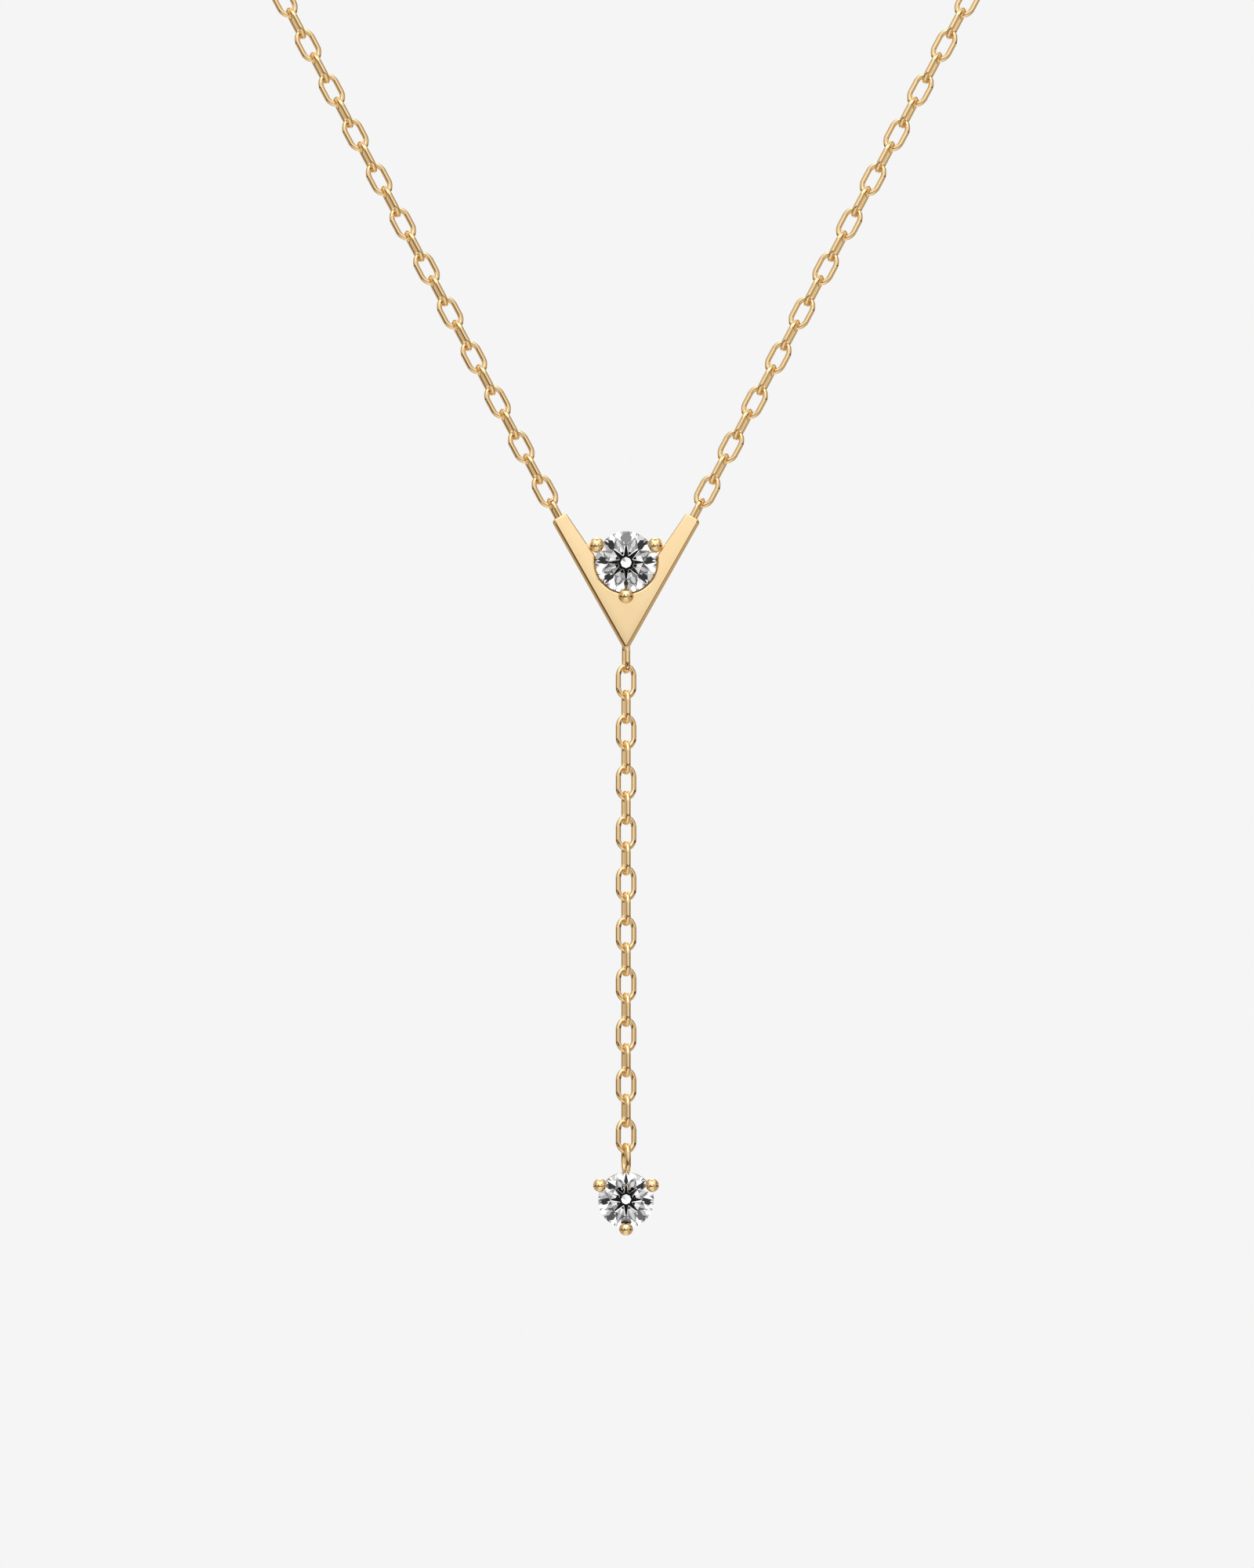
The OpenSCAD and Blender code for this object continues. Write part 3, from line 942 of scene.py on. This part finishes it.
def makeClasp():
    barrel = turnProfile("barrel", circleSection(clasp["radius"], 0, clasp["barrel"], 24), 60,
                         closed=True, angle=clasp["sweep"])
    # the two mouths are the faces with many corners
    pick(barrel, "polygons", lambda face: len(face.vertices) > 8)
    bpy.ops.mesh.bevel(offset=clasp["mouthEase"], segments=3, affect="EDGES")
    bpy.ops.object.mode_set(mode="OBJECT")
    barrel.data.transform(Matrix.Rotation(math.radians(180 - clasp["sweep"] / 2), 4, "Z"))
    members = [barrel]
    members.append(turnProfile("bow", circleSection(clasp["radius"], 0, clasp["bow"], 20), 96, closed=True))
    # a raised collar just behind each mouth of the barrel
    for end in (-1, 1):
        collar = turnProfile("collar", clasp["collar"], 32, closed=True)
        angle = math.radians(180 + end * (clasp["sweep"] / 2 - clasp["collarBack"]))
        collar.data.transform(Matrix.Rotation(angle, 4, "Z") @ Matrix.Translation((clasp["radius"], 0, 0))
                              @ Matrix.Rotation(math.radians(90), 4, "X"))
        members.append(collar)
    tag = turnProfile("tag", circleSection(clasp["tagRadius"], 0, clasp["tagWire"], 16), 48, closed=True)
    tag.data.transform(Matrix.Translation((clasp["tagX"], 0, 0)))
    members.append(tag)
    shank, knob = clasp["leverShank"], clasp["knob"] / 2
    reach = clasp["barrel"] / 2 + clasp["leverReach"]
    lever = turnProfile("lever", [(0, 0), (shank * clasp["footFlare"], 0), (shank, clasp["leverFoot"]),
                                  (shank, reach - knob * 0.8), (knob * 0.8, reach - knob * 0.6),
                                  (knob, reach), (knob * 0.8, reach + knob * 0.6), (0, reach + knob)], 24)
    aim = (Matrix.Rotation(math.radians(clasp["leverAngle"]), 4, "Z")
           @ Matrix.Translation((clasp["radius"], 0, 0)) @ Matrix.Rotation(math.radians(90), 4, "Y"))
    lever.data.transform(aim)
    members.append(lever)
    for member in members:
        shadeSmooth(member, 40)
        giveMaterials(member, polishedGold)
    return joinAll("claspRing", members)


claspRing = makeClasp()
settle(claspRing, facing(Vector((-clasp["radius"], places["nape"], 0))))
handOver(claspRing, "necklace", ["clasp"])

endLoop = {
    "radius": 1.3,
    "wire": 0.5,
    "x": 0.59,
}
endRing = turnProfile("endRing", circleSection(endLoop["radius"], 0, endLoop["wire"], 24), 96, closed=True)
shadeSmooth(endRing, 60)
giveMaterials(endRing, polishedGold)
settle(endRing, Matrix.Translation((endLoop["x"], places["nape"], 0)))
handOver(endRing, "necklace", ["end_ring"])

for pattern in (fineLink, loopLink, coarseLink):
    bpy.data.objects.remove(pattern)
print("pieces made")


# Floor, light and camera

studio = {
    "background": 0.913,
    # azimuth, elevation, half width, half height, softness in degrees, then brightness;
    # azimuth 0 lies in front of the necklace and 90 at its right
    "goldCards": (
        (33, 3, 33, 24, 9, 1.08),
        (-134, 0, 26, 52, 14, 0.3),
        (134, 0, 26, 52, 14, 0.3),
        (-100, -36, 50, 24, 18, 0.5),
        (100, -36, 50, 24, 18, 0.42),
        (30, -17, 15, 8, 4, 0.3),
        (108, 2, 56, 50, 22, 0.5),
        (-104, 14, 52, 34, 20, 0.55),
        (106, 27, 9, 12, 4, 0.1),
        (27, 8, 6, 12, 2.5, 0.12),
        (-27, 8, 6, 12, 2.5, 0.12),
        (-28, -15, 15, 10, 4.5, 0.05),
        (-56, -25, 17, 7, 3.5, 0.22),
        (-104, -11, 76, 2.8, 1.3, 0.12),
        (104, -11, 76, 2.8, 1.3, 0.12),
        (0, -17, 12, 9, 2.5, 0.02),
        (-86, -8, 13, 10, 4, 0.03),
        (86, -8, 13, 10, 4, 0.03),
        (0, 86, 20, 9, 3, 0.05),
    ),
    "goldLevels": ((0, 0.57), (0.25, 0.68), (0.46, 0.66), (0.5, 0.7), (0.53, 0.74), (0.7, 0.93), (1, 1.0)),
    "goldGain": 1.45,
    # green and blue fall off faster than red, as light does that has met gold before
    "warmth": (1, 1.2, 1.5),
    "stoneLevels": ((0, 0.8), (0.5, 1.0), (1, 1.0)),
    "stoneGain": 1.55,
    # rings round the direction of the front: nearer and farther edge in degrees, then brightness
    "stoneRings": ((95, 150, 0.03), (150, 181, 0.3), (32, 37, 0.6), (60, 73, 0.2), (0, 23.5, 0.008)),
    "patchScale": 4.5,
    "patchEdges": (0.44, 0.5),    # noise below the first is a dark patch, above the second none
    "patchDepth": 0.4,            # brightness of the darkest patches, as a share
}


def addMath(tree, operation, first, second=None):
    node = addNode(tree, "ShaderNodeMath", operation=operation)
    for index, value in enumerate((first, second)):
        if value is None:
            continue
        if isinstance(value, (int, float)):
            node.inputs[index].default_value = value
        else:
            tree.links.new(value, node.inputs[index])
    return node.outputs[0]


def addAlong(tree, direction, axis):
    node = addNode(tree, "ShaderNodeVectorMath", operation="DOT_PRODUCT")
    tree.links.new(direction, node.inputs[0])
    node.inputs[1].default_value = axis
    return node.outputs["Value"]


def addCard(tree, direction, under, card):
    azimuth, elevation, halfWidth, halfHeight, softness, value = card
    a, e = math.radians(azimuth), math.radians(elevation)
    centre = (math.sin(a) * math.cos(e), -math.cos(a) * math.cos(e), math.sin(e))
    right = (math.cos(a), math.sin(a), 0)
    up = (-math.sin(a) * math.sin(e), math.cos(a) * math.sin(e), math.cos(e))
    sideways = addMath(tree, "ARCTAN2", addAlong(tree, direction, right), addAlong(tree, direction, centre))
    upwards = addMath(tree, "ARCSINE", addAlong(tree, direction, up))
    masks = []
    for angle, half in ((sideways, halfWidth), (upwards, halfHeight)):
        fade = addNode(tree, "ShaderNodeMapRange", interpolation_type="SMOOTHSTEP")
        fade.inputs[1].default_value = math.radians(half - softness)
        fade.inputs[2].default_value = math.radians(half + softness)
        fade.inputs[3].default_value = 1
        fade.inputs[4].default_value = 0
        tree.links.new(addMath(tree, "ABSOLUTE", angle), fade.inputs[0])
        masks.append(fade.outputs[0])
    mask = addMath(tree, "MULTIPLY", *masks)
    return addMath(tree, "ADD", addMath(tree, "MULTIPLY", under, addMath(tree, "SUBTRACT", 1.0, mask)),
                   addMath(tree, "MULTIPLY", mask, value))


def addLevels(tree, direction, levels):
    ramp = addNode(tree, "ShaderNodeValToRGB")
    for index, (position, value) in enumerate(levels):
        element = ramp.color_ramp.elements[index] if index < 2 else ramp.color_ramp.elements.new(position)
        element.position = position
        element.color = (value, value, value, 1)
    height = addMath(tree, "ADD", addMath(tree, "MULTIPLY", addAlong(tree, direction, (0, 0, 1)), 0.5), 0.5)
    tree.links.new(height, ramp.inputs["Fac"])
    return ramp.outputs["Color"]


def addRing(tree, direction, under, ring):
    near, far, value = ring
    angle = addMath(tree, "ARCCOSINE", addAlong(tree, direction, (0, -1, 0)))
    inside = addMath(tree, "MULTIPLY", addMath(tree, "GREATER_THAN", angle, math.radians(near)),
                     addMath(tree, "LESS_THAN", angle, math.radians(far)))
    return addMath(tree, "ADD", addMath(tree, "MULTIPLY", under, addMath(tree, "SUBTRACT", 1.0, inside)),
                   addMath(tree, "MULTIPLY", inside, value))


def goldSurround(tree, direction):
    value = addMath(tree, "MULTIPLY", addLevels(tree, direction, studio["goldLevels"]), studio["goldGain"])
    for card in studio["goldCards"]:
        value = addCard(tree, direction, value, card)
    warm = addNode(tree, "ShaderNodeCombineColor")
    for index, power in enumerate(studio["warmth"]):
        tree.links.new(addMath(tree, "POWER", value, power), warm.inputs[index])
    return warm.outputs[0]


def stoneSurround(tree, direction):
    value = addMath(tree, "MULTIPLY", addLevels(tree, direction, studio["stoneLevels"]), studio["stoneGain"])
    patches = addNoise(tree, direction, studio["patchScale"], 2, 0.5, 0.6)
    share = addRange(tree, patches, *studio["patchEdges"], studio["patchDepth"], 1)
    value = addMath(tree, "MULTIPLY", value, share)
    for ring in studio["stoneRings"]:
        value = addRing(tree, direction, value, ring)
    return value


def makeStudio():
    world = bpy.data.worlds.new("studio")
    scene.world = world
    world.use_nodes = True
    tree = world.node_tree
    tree.nodes.clear()
    direction = addNode(tree, "ShaderNodeTexCoord").outputs["Generated"]
    path = addNode(tree, "ShaderNodeLightPath")
    colour = goldSurround(tree, direction)
    # the stones, whose faces are sharp mirrors, see a studio with a dark middle
    sharp = addMath(tree, "MAXIMUM", path.outputs["Is Transmission Ray"], path.outputs["Is Singular Ray"])
    plain = (studio["background"],) * 3 + (1,)
    for mask, over in ((sharp, stoneSurround(tree, direction)), (path.outputs["Is Camera Ray"], plain)):
        blend = addNode(tree, "ShaderNodeMix", data_type="RGBA")
        tree.links.new(mask, blend.inputs["Factor"])
        tree.links.new(colour, blend.inputs["A"])
        if over is plain:
            blend.inputs["B"].default_value = plain
        else:
            tree.links.new(over, blend.inputs["B"])
        colour = blend.outputs["Result"]
    shine = addNode(tree, "ShaderNodeBackground")
    tree.links.new(colour, shine.inputs["Color"])
    shine.inputs["Strength"].default_value = 1
    out = addNode(tree, "ShaderNodeOutputWorld")
    tree.links.new(shine.outputs["Background"], out.inputs["Surface"])


makeStudio()

ground = {
    "place": (0, -0.06, -0.45),
    "radius": 3,
    "deep": (0.905, 0.877, 0.825),
    "pale": (0.935, 0.905, 0.853),
    "roughness": 0.8,
}
clearSelection()
bpy.ops.mesh.primitive_circle_add(vertices=96, radius=ground["radius"], fill_type="NGON",
                                  location=ground["place"])
floor = bpy.context.object
floor.name = "floor"
floorMaterial, floorTree, floorShader, floorPlace = newMaterial("paleFloor")
floorTone = addNoise(floorTree, floorPlace, 3, 4)
floorTree.links.new(addTints(floorTree, floorTone, ((0.3, ground["deep"]), (0.7, ground["pale"]))),
                    floorShader.inputs["Base Color"])
floorShader.inputs["Roughness"].default_value = ground["roughness"]
floor.data.materials.append(floorMaterial)
floor.visible_glossy = False
floor.visible_transmission = False

camera = {
    "place": (0.00005, -0.61, -0.1251),
    "distance": 0.5,           # to the front of the necklace
    "frameHeight": 0.082,      # what the picture's height takes in there
    "sensor": 36,
    "near": 0.01,
}
clearSelection()
bpy.ops.object.camera_add(location=camera["place"], rotation=(math.radians(90), 0, 0))
viewer = bpy.context.object
viewer.name = "viewer"
viewer.data.sensor_fit = "AUTO"
viewer.data.sensor_width = camera["sensor"]
viewer.data.lens = camera["sensor"] * camera["distance"] / camera["frameHeight"]
viewer.data.clip_start = camera["near"]
scene.camera = viewer

scene.view_settings.view_transform = "Standard"
scene.view_settings.look = "None"
# few bounces leave the longest ways through a stone dark, which sets off its facets
scene.cycles.max_bounces = 5
scene.cycles.glossy_bounces = 5
scene.cycles.transmission_bounces = 5
print("studio made")
